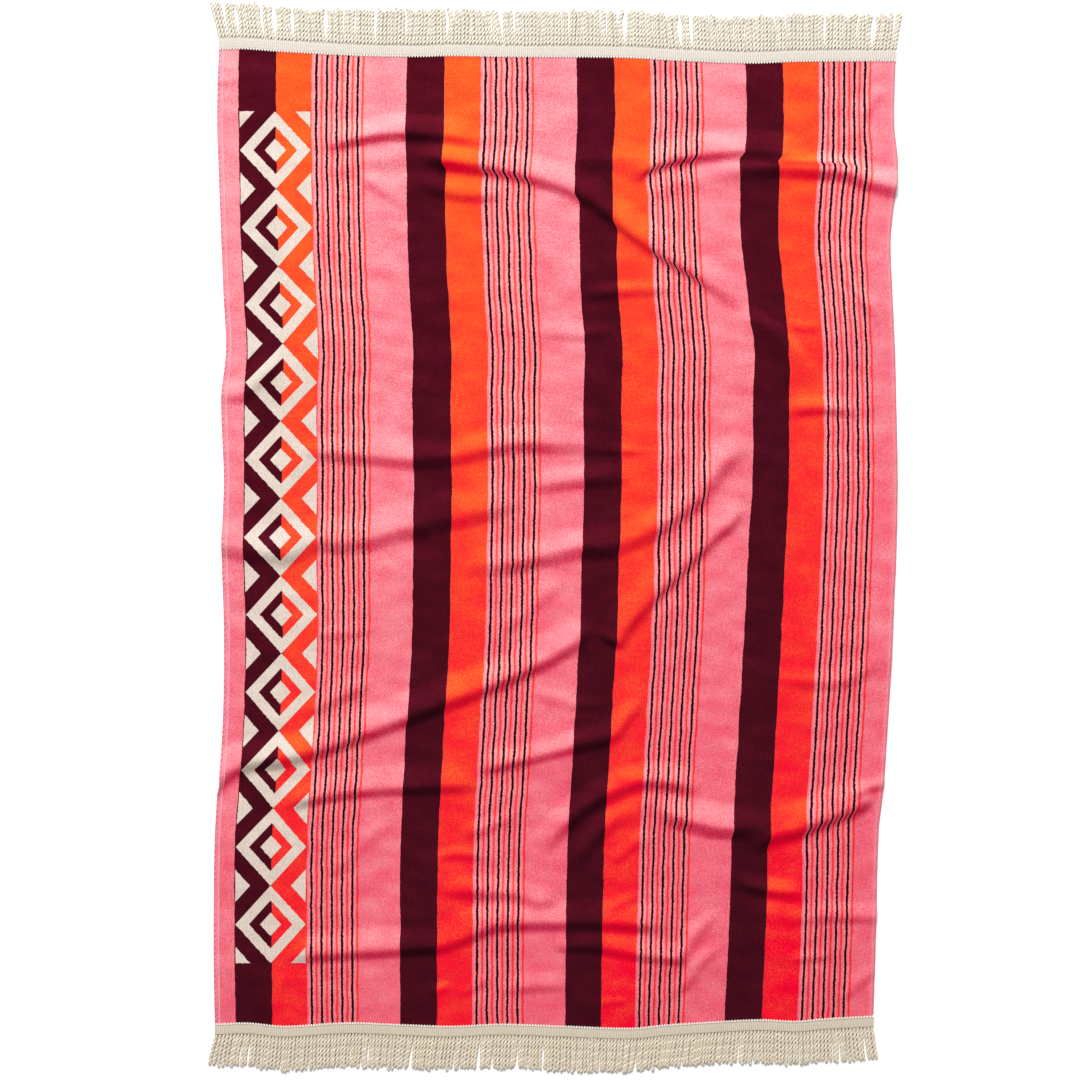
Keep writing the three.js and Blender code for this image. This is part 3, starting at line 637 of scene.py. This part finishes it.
def make_cloth(shift, face_material, underside_material):
    """One closed sheet: a fine upper face with its hems, a coarser underside, and the rim between them."""
    columns, rows = cloth_columns(), np.linspace(0, 1, ROWS + 1)
    across, x, y, upper, underside = lay_cloth(columns, rows)
    wide, long = len(columns), len(rows)
    number = np.arange(wide * long).reshape(long, wide)
    keep_columns = np.arange(0, wide, COARSER)
    keep_rows = np.arange(0, long, COARSER)
    low = number.max() + 1 + np.arange(len(keep_rows) * len(keep_columns)).reshape(len(keep_rows), -1)
    pick = np.ix_(keep_rows, keep_columns)
    vertices = np.vstack([
        np.stack([x, y, upper], -1).reshape(-1, 3),
        np.stack([x[pick], y[pick], underside[pick]], -1).reshape(-1, 3),
    ])
    vertices[:, :2] += shift
    uv = np.vstack([
        np.stack([across, y], -1).reshape(-1, 2),
        np.stack([across[pick], y[pick]], -1).reshape(-1, 2),
    ])
    top_faces = quads(number[:-1, :-1], number[1:, :-1], number[1:, 1:], number[:-1, 1:])
    low_faces = quads(low[:-1, :-1], low[:-1, 1:], low[1:, 1:], low[1:, :-1])
    faces = [*top_faces.tolist(), *low_faces.tolist(), *rim_faces(number, low)]
    piece = mesh_object("cloth_sheet", vertices, faces, [face_material, underside_material], uv)
    slots = np.zeros(len(faces), np.int32)
    slots[len(top_faces):len(top_faces) + len(low_faces)] = 1
    piece.data.polygons.foreach_set("material_index", slots)
    # Painted shading for the face: painted highlight where it faces the light, painted shade where it faces
    # away
    painted_shading = np.zeros(len(vertices), np.float32)
    painted_shading[:wide * long] = painted_slope_shading(x, y, upper).ravel()
    piece.data.attributes.new("Nap", "FLOAT", "POINT").data.foreach_set("value", painted_shading)
    return piece


def trim_edge(trim, across, out):
    """Places at the distance "out" beyond a tape's inner edge."""
    y = end_line(trim.edge, across) + trim.outward * out
    return surface_x(across, y), y


def make_tape(name, trim, shift, material):
    """A ribbed header tape: a closed band with rounded edges and small scallops along its inner edge."""
    across = np.linspace(0, WIDTH, TAPE_STEPS + 1)
    low, high = THICKNESS + GAP, THICKNESS + GAP + TAPE_THICKNESS
    scallop = trim.scallop * np.abs(np.cos(math.pi * across / SCALLOP_PITCH)) ** 3
    rings = []
    for out, height, scalloped in TAPE_PROFILE:
        x, y = trim_edge(trim, across, out * TAPE_WIDTH + (scallop if scalloped else 0))
        z = low + height * (high - low) + 0 * across
        rings.append(np.stack([x + shift[0], y + shift[1], z], -1))
    count, turns = len(across), len(rings)
    number = np.arange(turns * count).reshape(turns, count)
    following = np.roll(number, -1, axis=0)
    faces = quads(number[:, :-1], number[:, 1:], following[:, 1:], following[:, :-1])
    if trim.outward < 0:
        faces = faces[:, ::-1]
    ends = [number[::-1, 0], number[:, -1]] if trim.outward > 0 else [number[:, 0], number[::-1, -1]]
    out = np.array([row[0] * TAPE_WIDTH for row in TAPE_PROFILE])
    uv = np.stack([np.tile(across, turns), np.repeat(out, count)], -1)
    faces = [*faces.tolist(), *([int(i) for i in cap] for cap in ends)]
    return mesh_object(name, np.vstack(rings), faces, [material], uv)


def parting_shift(across, width, place):
    """How far a parting moves the cords beside it, away from its place."""
    away = across - place
    return np.sign(away) * width / 2 * np.exp(-np.abs(away) / PARTING_REACH)


CordPlaces = namedtuple("CordPlaces", "root_x root_y lean length bow lift")


def cord_places(trim, rng):
    """For each cord of one end: its root, its lean and length, its sideways bow and its tip's lift."""
    across = (np.arange(CORDS) + 0.5) * WIDTH / CORDS
    marks, leans, lengths = zip(*trim.cords)
    lean = smooth_through(marks, leans, across)
    length = smooth_through(marks, lengths, across)
    disorder = trim.disorder
    root_x, root_y = trim_edge(trim, across, TAPE_WIDTH - CORD_ROOT_INSET)
    tufts = []
    while sum(tufts) < CORDS:
        tufts.append(int(rng.choice(TUFT_SIZES)))
    tuft = np.repeat(np.arange(len(tufts)), tufts)[:CORDS]
    middle = np.array([root_x[tuft == t].mean() for t in range(tuft[-1] + 1)])[tuft]
    lean = lean + rng.normal(0, disorder.tuft_lean, len(tufts))[tuft]
    lean = lean + rng.normal(0, disorder.cord_lean, CORDS)
    lean = lean + rng.uniform(LEAST_SQUEEZE, 1, len(tufts))[tuft] * disorder.squeeze * (middle - root_x)
    length = length + rng.normal(0, disorder.length, CORDS)
    bow = rng.normal(0, disorder.bow, len(tufts))[tuft] + rng.normal(0, disorder.bow, CORDS)
    for place, halfway, at_tip in trim.partings:
        lean = lean + parting_shift(across, at_tip, place)
        bow = bow + 2 * parting_shift(across, halfway - at_tip / 2, place)
    lift = disorder.lift * (np.arange(CORDS) % 2) * rng.uniform(LEAST_LIFT, 1, CORDS)
    return CordPlaces(root_x, root_y, lean, length, bow, lift)


def cord_rings(root, lean, length, outward, bow, lift, turn, turn_start):
    """The rings of one two-ply cord, lying from its root in the tape out over the floor."""
    s = np.linspace(0, 1, CORD_RINGS + 1)
    reach = math.sqrt(max(length**2 - lean**2, 0))
    grown = smooth_step(s * length, 0, ROOT_REACH)
    centre = np.stack([
        root[0] + lean * s + bow * np.sin(math.pi * s) * s,
        root[1] + outward * reach * s,
        CORD_RADIUS + (ROOT_HEIGHT - CORD_RADIUS) * (1 - grown) + lift * s,
    ], -1)
    tangent = np.gradient(centre, axis=0)
    tangent /= np.linalg.norm(tangent, axis=1, keepdims=True)
    side = np.cross(tangent, [0, 0, 1])
    side /= np.linalg.norm(side, axis=1, keepdims=True)
    up = np.cross(side, tangent)
    thin = ROOT_THIN + (1 - ROOT_THIN) * grown
    from_tip = np.clip((1 - s) * length / (TIP_ROUND * CORD_RADIUS), 0, 1)
    size = CORD_RADIUS * thin * np.sqrt(np.clip(1 - (1 - from_tip) ** 2, TIP_SHARE, 1))
    angle = np.arange(CORD_SIDES) * 2 * math.pi / CORD_SIDES
    lobes = PLY_GROOVE + (1 - PLY_GROOVE) * np.abs(np.cos(angle))
    twist = turn_start - 2 * math.pi * s * length / turn
    around = angle[None, :] + twist[:, None]
    radius = size[:, None] * lobes[None, :]
    rings = (centre[:, None, :] + radius[..., None] * (np.cos(around)[..., None] * side[:, None, :]
                                                       + np.sin(around)[..., None] * up[:, None, :]))
    return rings, s * length


def make_cords(name, numbers, places, outward, shift, material, rng):
    """Some of one end's cords, as one mesh of closed twisted rods, their first waists nearly in a row."""
    rings = CORD_RINGS + 1
    grid = np.arange(rings * CORD_SIDES).reshape(rings, CORD_SIDES)
    beside = np.roll(grid, -1, axis=1)
    one = quads(grid[:-1], beside[:-1], beside[1:], grid[1:])
    caps = [grid[0][::-1].tolist(), grid[-1].tolist()]
    vertices, faces, uv = [], [], []
    around = np.tile(np.arange(CORD_SIDES) / CORD_SIDES * CORD_UV_TURN, rings)
    for k, i in enumerate(numbers):
        turn = CORD_TURN * rng.normal(1, TURN_SPREAD)
        turn_start = math.pi / 2 + 2 * math.pi * FIRST_WAIST / turn + rng.normal(0, START_SPREAD)
        root = (places.root_x[i] + shift[0], places.root_y[i] + shift[1])
        points, along = cord_rings(root, places.lean[i], places.length[i], outward, places.bow[i],
                                   places.lift[i], turn, turn_start)
        vertices.append(points.reshape(-1, 3))
        first = k * rings * CORD_SIDES
        faces.extend((one + first).tolist())
        faces.extend([[v + first for v in cap] for cap in caps])
        uv.append(np.stack([i + around, np.repeat(along, CORD_SIDES)], -1))
    return mesh_object(name, np.vstack(vertices), faces, [material], np.vstack(uv))


class Graph:
    """One material, with short calls for its nodes. Lengths in its nodes are metres."""

    def __init__(self, name):
        self.material = bpy.data.materials.new(name)
        self.material.use_nodes = True
        self.tree = self.material.node_tree
        self.shader = self.tree.nodes["Principled BSDF"]

    def node(self, kind, inputs=(), **settings):
        node = self.tree.nodes.new(kind)
        for key, value in settings.items():
            setattr(node, key, value)
        for key, value in dict(inputs).items():
            self.feed(node.inputs[key], value)
        return node

    def feed(self, socket, value):
        if isinstance(value, bpy.types.NodeSocket):
            self.tree.links.new(value, socket)
        elif isinstance(value, tuple) and len(value) == 3 and socket.type == "RGBA":
            socket.default_value = (*value, 1)
        else:
            socket.default_value = value

    def math(self, operation, a, b=0.0, clamp=False):
        return self.node("ShaderNodeMath", {0: a, 1: b}, operation=operation, use_clamp=clamp).outputs[0]

    def plus(self, a, b, clamp=False):
        return self.math("ADD", a, b, clamp)

    def minus(self, a, b):
        return self.math("SUBTRACT", a, b)

    def times(self, a, b, clamp=False):
        return self.math("MULTIPLY", a, b, clamp)

    def mix(self, factor, a, b):
        inputs = {"Factor": factor, "A": a, "B": b}
        node = self.node("ShaderNodeMix", data_type="RGBA")
        for socket in node.inputs:
            if socket.name in inputs and socket.type in ("RGBA", "VALUE") and socket.enabled:
                self.feed(socket, inputs[socket.name])
        return next(o for o in node.outputs if o.enabled and o.type == "RGBA")

    def uv(self, name):
        place = self.node("ShaderNodeUVMap", uv_map=name).outputs[0]
        separate = self.node("ShaderNodeSeparateXYZ", {0: place})
        return separate.outputs[0], separate.outputs[1]

    def point(self, x, y, z=0.0):
        return self.node("ShaderNodeCombineXYZ", {0: x, 1: y, 2: z}).outputs[0]

    def noise(self, point, scale, detail=2.0, roughness=0.5):
        """Noise of about -1 to 1, with features of about 1/scale metres."""
        node = self.node("ShaderNodeTexNoise", {"Vector": point, "Scale": scale, "Detail": detail,
                                                "Roughness": roughness})
        return self.times(self.minus(node.outputs[0], 0.5), 4.0)

    def grain(self, point, grain):
        return self.times(self.noise(point, grain.scale, grain.detail, grain.roughness), grain.amount)

    def streaks(self, x, y, streaks):
        point = self.point(self.times(x, streaks.across), self.times(y, streaks.along))
        return self.times(self.noise(point, 1.0, streaks.detail), streaks.amount)

    def band(self, value, centre, half, soft):
        """1 where value is within "half" of the centre, fading to 0 over "soft"."""
        away = self.math("ABSOLUTE", self.minus(value, centre))
        return self.plus(self.math("DIVIDE", self.minus(half, away), soft), 0.5, clamp=True)

    def line(self, from_edge, line):
        return self.band(from_edge, line.place, line.half, line.soft)

    def stroke(self, from_edge, line):
        return self.times(self.line(from_edge, line), line.strength)

    def wrap(self, value, period):
        """The value's distance from the nearest multiple of the period."""
        shifted = self.plus(value, period / 2)
        return self.minus(self.math("FLOORED_MODULO", shifted, period), period / 2)

    def bump(self, height, distance, strength=1.0):
        node = self.node("ShaderNodeBump", {"Height": height, "Distance": distance, "Strength": strength})
        self.feed(self.shader.inputs["Normal"], node.outputs[0])

    def set(self, **values):
        for name, value in values.items():
            self.feed(self.shader.inputs[name.replace("_", " ")], value)


def stripe_masks(g, across, y):
    """Masks of the dark stripe, the orange one, the dark lines, their flanks, and the threads between."""
    place = g.point(across, y)
    tooth = g.grain(place, STRIPE_TOOTH)
    ragged = g.grain(place, LINE_RAGGED)
    wobble = g.grain(place, STRIPE_WOBBLE)
    place = g.plus(g.minus(across, LEFT_MARGIN), g.plus(tooth, wobble))
    repeat = g.math("FLOORED_MODULO", place, REPEAT)
    dark = g.band(repeat, DARK_STRIPE / 2, DARK_STRIPE / 2, CRISP)
    orange = g.band(repeat, DARK_STRIPE + ORANGE_STRIPE / 2, ORANGE_STRIPE / 2, CRISP)
    span = (PINSTRIPES - 1) * PINSTRIPE_PITCH / 2
    from_line = g.wrap(g.minus(repeat, PINSTRIPE_START), PINSTRIPE_PITCH)
    near_lines = g.band(repeat, PINSTRIPE_START + span, span + BESIDE_LINES, CRISP)
    lines = g.band(g.plus(from_line, ragged), 0.0, PINSTRIPE_WIDTH / 2, CRISP)
    flanks = g.band(from_line, 0.0, (PINSTRIPE_WIDTH + FLANK_WIDTH) / 2, FLANK_WIDTH)
    thread_start = PINSTRIPE_START + THREAD_OFFSET
    from_thread = g.wrap(g.minus(repeat, thread_start), PINSTRIPE_PITCH)
    threads = g.band(g.plus(from_thread, ragged), 0.0, THREAD_WIDTH / 2, THREAD_SOFT)
    near_threads = g.band(repeat, thread_start + span, span + BESIDE_THREADS, CRISP)
    return (dark, orange, g.times(lines, near_lines), g.times(flanks, near_lines),
            g.times(threads, near_threads))


def border_mask(g, across, y):
    """A woven border of lozenges with a solid middle, and small points at both sides between them."""
    edge = g.grain(g.point(across, y), BORDER_RAGGED)
    from_middle = g.math("ABSOLUTE", g.plus(g.minus(across, BORDER_MIDDLE), edge))
    along = g.plus(g.minus(y, BORDER_CENTRE), edge)
    step = g.math("ABSOLUTE", g.wrap(along, BORDER_PITCH))
    ring = g.plus(g.math("DIVIDE", from_middle, BORDER_HALF_WIDTH), g.math("DIVIDE", step, BORDER_PITCH / 2))
    lozenge = g.band(ring, *LOZENGE, BORDER_SOFT)
    heart = g.band(ring, 0.0, HEART, BORDER_SOFT)
    side = g.math("DIVIDE", g.minus(BORDER_HALF_WIDTH, from_middle), BORDER_HALF_WIDTH)
    between = g.math("DIVIDE", g.minus(BORDER_PITCH / 2, step), BORDER_PITCH / 2)
    points = g.band(g.plus(side, between), 0.0, POINT, BORDER_SOFT)
    mask = g.math("MAXIMUM", g.math("MAXIMUM", lozenge, heart), points)
    mask = g.times(mask, g.band(from_middle, 0.0, BORDER_HALF_WIDTH, CRISP))
    return g.times(mask, g.band(along, 0.0, BORDER_REPEATS * BORDER_PITCH / 2, CRISP))


def hem_colour(g, across, y, colour):
    """The colour with its hems, dashed at the left and stitched at the right, with a painted shade line along
    the right rim, and the stitches' mask.
    """
    from_right = g.minus(WIDTH, across)
    tint = g.plus(g.stroke(across, LEFT_TINT), g.stroke(from_right, RIGHT_TINT))
    colour = g.mix(tint, colour, HEM_TINT)
    light = g.plus(g.stroke(across, LEFT_LINE), g.stroke(from_right, RIGHT_LINE))
    colour = g.mix(light, colour, HEM_LIGHT)
    slanting = g.wrap(g.minus(y, across), RIM_DASH_PITCH)
    stretches = g.plus(g.grain(g.point(0.0, y), HEM_STRETCHES), 0.9, clamp=True)
    dashes = g.times(g.band(slanting, 0.0, 0.0011, 0.0014), stretches)
    dashes = g.times(dashes, g.line(across, RIM_DASHES))
    colour = g.mix(g.times(dashes, RIM_DASHES.strength), colour, HEM_SHADE)
    # Painted shade along the right rim
    colour = g.mix(g.stroke(from_right, RIGHT_RIM_SHADE), colour, RIM_PAINTED_SHADE)
    dash = g.band(g.wrap(y, STITCH_PITCH), 0.0, STITCH_PITCH * 0.3, 0.0006)
    stitch = g.times(dash, g.line(from_right, HEM_STITCHES))
    return g.mix(g.times(stitch, HEM_STITCHES.strength), colour, HEM_SHADE), stitch


def painted_falloff_share(g, across, y, place):
    """How much of the paler upper colours, painted light brighter to the upper end and the left, shows at
    each point.
    """
    painted_falloff = g.plus(g.times(y, PAINTED_LIGHT_UP), g.times(g.minus(0.5, across), PAINTED_LIGHT_LEFT))
    painted_falloff = g.plus(g.plus(painted_falloff, 0.5), g.grain(place, PAINTED_LIGHT_PATCHES), clamp=True)
    return g.math("POWER", painted_falloff, PAINTED_LIGHT_POWER)


def shading_and_mottle(g, across, y, place):
    """Painted shading, above 0 towards the painted highlight and below 0 towards the painted shade: from the
    slopes, and at random in clouds and in tufts.
    """
    painted_shading = g.node("ShaderNodeAttribute", attribute_name="Nap").outputs["Fac"]
    clouds = g.streaks(across, y, NAP_CLOUDS)
    tufts = g.grain(place, PILE_TUFTS)
    specks = g.grain(place, PILE_SPECKS)
    rough = g.plus(0.8, g.grain(place, ROUGH_PATCHES))
    return g.plus(painted_shading, g.plus(clouds, g.times(g.plus(tufts, specks), rough)))


def pile_shade(g, layers, kind):
    """One of the pile's shades: the pink ground with the stripes laid over it in turn."""
    colour = getattr(PINK, kind)
    for mask, pile in layers:
        colour = g.mix(mask, colour, getattr(pile, kind))
    return colour


def velour(name, relief):
    """Cotton pile in its stripes, with the relief of the sheared face or of the looped underside."""
    g = Graph(name)
    across, y = g.uv("Cloth")
    place = g.point(across, y)
    dark, orange, lines, flanks, threads = stripe_masks(g, across, y)
    border = border_mask(g, across, y)
    painted_falloff = painted_falloff_share(g, across, y, place)
    painted_shading = shading_and_mottle(g, across, y, place)
    ribs = g.streaks(across, y, RIBS)
    layers = [(orange, ORANGE), (dark, MAROON), (flanks, FLANK), (threads, THREAD), (border, CREAM),
              (lines, LINE)]
    lower, upper, deep, pale = [pile_shade(g, layers, kind) for kind in Pile._fields]
    # Painted light: the paler upper colours towards the upper end and the left
    colour = g.mix(painted_falloff, lower, upper)
    # Painted shade where the face slopes away from the light
    colour = g.mix(g.times(painted_shading, -1.0, clamp=True), colour, deep)
    # Painted highlight where the face slopes towards the light
    highlight_share = g.times(g.plus(0.6, g.times(painted_falloff, 0.4)), painted_shading, clamp=True)
    colour = g.mix(highlight_share, colour, pale)
    colour, stitch = hem_colour(g, across, y, colour)
    weave = g.plus(1.0, g.plus(g.times(ribs, RIB_SHADE), g.grain(place, WEAVE_GRAIN)))
    colour = g.node("ShaderNodeVectorMath", {0: colour, 1: g.point(weave, weave, weave)},
                    operation="MULTIPLY").outputs[0]
    pile = g.noise(place, relief.scale, 2.0, 0.7)
    height = g.plus(g.times(pile, PILE_RELIEF), g.times(ribs, RIB_RELIEF))
    height = g.plus(g.plus(height, g.grain(place, PEBBLES)), g.times(border, BORDER_RELIEF))
    height = g.minus(height, g.times(stitch, STITCH_RELIEF))
    g.bump(height, relief.depth, 0.8)
    g.set(Base_Color=colour, Roughness=0.92, Specular_IOR_Level=0.02, Sheen_Weight=0.02,
          Sheen_Roughness=0.5, Sheen_Tint=(1.0, 0.60, 0.60))
    return g.material


def tape_cotton(end):
    """Natural cotton tape: fine ribs across it, a seam near its inner edge, and a pale notched rim there."""
    g = Graph(f"cotton_tape_{end}")
    cotton = TAPE_COTTON[end]
    across, out = g.uv("Cloth")
    place = g.point(across, out)
    wavy = g.plus(across, g.grain(place, TAPE_WAVER))
    rib = g.math("SINE", g.times(wavy, 2 * math.pi / TAPE_RIB_PITCH))
    rough = g.noise(place, 600.0, 3.0, 0.6)
    seam = g.line(out, TAPE_SEAM)
    dash = g.band(g.wrap(across, STITCH_PITCH), 0.0, STITCH_PITCH * 0.34, 0.0005)
    notch = g.band(g.wrap(across, SCALLOP_PITCH), 0.0, 0.0005, 0.0008)
    rim = g.line(out, TAPE_RIM)
    tone = g.plus(0.5, g.plus(g.times(rib, 0.36), g.times(rough, 0.40)), clamp=True)
    colour = g.mix(tone, cotton.deep, cotton.light)
    colour = g.mix(g.times(seam, TAPE_SEAM.strength), colour, cotton.shadow)
    colour = g.mix(g.times(rim, TAPE_RIM.strength), colour, TAPE_BEAD)
    colour = g.mix(g.times(g.times(notch, rim), 0.75), colour, cotton.shadow)
    height = g.plus(g.times(rib, 0.5), g.times(rough, 0.35))
    height = g.minus(height, g.times(seam, g.minus(1.0, dash)))
    g.bump(height, 0.0005, 1.0)
    g.set(Base_Color=colour, Roughness=0.85, Specular_IOR_Level=0.2, Sheen_Weight=0.15)
    return g.material


def cord_cotton(end):
    """Natural cotton cord: each one a little lighter or darker, with yarns slanting round its plies."""
    g = Graph(f"cotton_cord_{end}")
    cotton = CORD_COTTON[end]
    number, along = g.uv("Cloth")
    own = g.node("ShaderNodeTexWhiteNoise", {"W": g.math("FLOOR", number)}, noise_dimensions="1D")
    around = g.math("FRACT", number)
    yarn = g.math("SINE", g.minus(g.times(around, 2 * math.pi * YARNS),
                                  g.times(along, 2 * math.pi / YARN_PITCH)))
    fuzz = g.noise(g.point(g.times(number, 0.02), along), 900.0, 2.0, 0.6)
    groove = g.math("ABSOLUTE", g.math("SINE", g.times(around, 2 * math.pi)))
    tone = g.plus(g.times(own.outputs[0], 0.4), g.plus(0.55, g.times(fuzz, 0.25)))
    tone = g.plus(tone, g.times(yarn, 0.06), clamp=True)
    colour = g.mix(tone, cotton.deep, cotton.light)
    colour = g.mix(g.times(g.math("POWER", groove, 4.0), 0.65), colour, cotton.shadow)
    g.bump(g.plus(yarn, g.times(fuzz, 0.6)), 0.0002, 0.8)
    g.set(Base_Color=colour, Roughness=0.85, Specular_IOR_Level=0.2, Sheen_Weight=0.15)
    return g.material


def floor_material():
    g = Graph("pale_floor")
    g.set(Base_Color=FLOOR_COLOUR, Roughness=0.9, Specular_IOR_Level=0.1)
    return g.material


def make_floor():
    half = FLOOR_SIZE / 2
    corners = [(-half, -half, 0), (half, -half, 0), (half, half, 0), (-half, half, 0)]
    floor = mesh_object("floor", corners, [[0, 1, 2, 3]], [floor_material()], smooth=False)


def add_area_light(name, light):
    data = bpy.data.lights.new(name, "AREA")
    data.size = light.size
    data.energy = light.power
    data.color = light.colour
    lamp = add_object(name, data)
    lamp.location = light.place
    lamp.rotation_euler = (-Vector(light.place)).to_track_quat("-Z", "Y").to_euler()


def light_scene():
    add_area_light("key", KEY_LIGHT)
    world = bpy.data.worlds.new("studio")
    world.use_nodes = True
    background = world.node_tree.nodes["Background"]
    background.inputs["Color"].default_value = (*WORLD_COLOUR, 1)
    background.inputs["Strength"].default_value = WORLD_STRENGTH
    bpy.context.scene.world = world
    bpy.context.scene.view_settings.view_transform = "Standard"


def add_camera(shift):
    """Straight above the sheet, far enough for a long lens to frame the photograph's square."""
    data = bpy.data.cameras.new("camera")
    data.lens = LENS
    data.sensor_width = SENSOR
    camera = add_object("camera", data)
    height = PHOTO_SIDE * LENS / SENSOR
    camera.location = (PHOTO_MIDDLE[0] + shift[0], PHOTO_MIDDLE[1] + shift[1], height)
    bpy.context.scene.camera = camera


def plan_shift():
    """How far the frame is moved from the tables' own places: the cloth's box in both is the same."""
    across, down = np.meshgrid(np.linspace(0, WIDTH, PLAN_STEPS + 1), np.linspace(0, 1, PLAN_STEPS + 1))
    y = cloth_y(across, down)
    x = surface_x(across, y)
    low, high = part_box("cloth")
    return ((low.x + high.x - x.min() - x.max()) / 2, (low.y + high.y - y.min() - y.max()) / 2)


def make_trim(side, trim, shift, rng):
    """The pieces of one end's trim: its tape, and its cords in a left and a right half."""
    pieces = [make_tape(f"tape_{side}", trim, shift, tape_cotton(side))]
    cotton = cord_cotton(side)
    places = cord_places(trim, rng)
    for half, numbers in (("left", range(CORDS // 2)), ("right", range(CORDS // 2, CORDS))):
        name = f"cords_{side}_{half}"
        pieces.append(make_cords(name, numbers, places, trim.outward, shift, cotton, rng))
    for piece in pieces:
        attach(piece, "root")
        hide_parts(f"fringe_{side}")
    return pieces


def main():
    shift = plan_shift()
    add_camera(shift)
    cloth = make_cloth(shift, velour("velour_face", SHEARED), velour("terry_underside", LOOPED))
    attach(cloth, "root")
    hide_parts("cloth")
    rng = np.random.default_rng(RANDOM_SEED)
    for side, trim in TRIMS.items():
        make_trim(side, trim, shift, rng)
    make_floor()
    light_scene()


main()
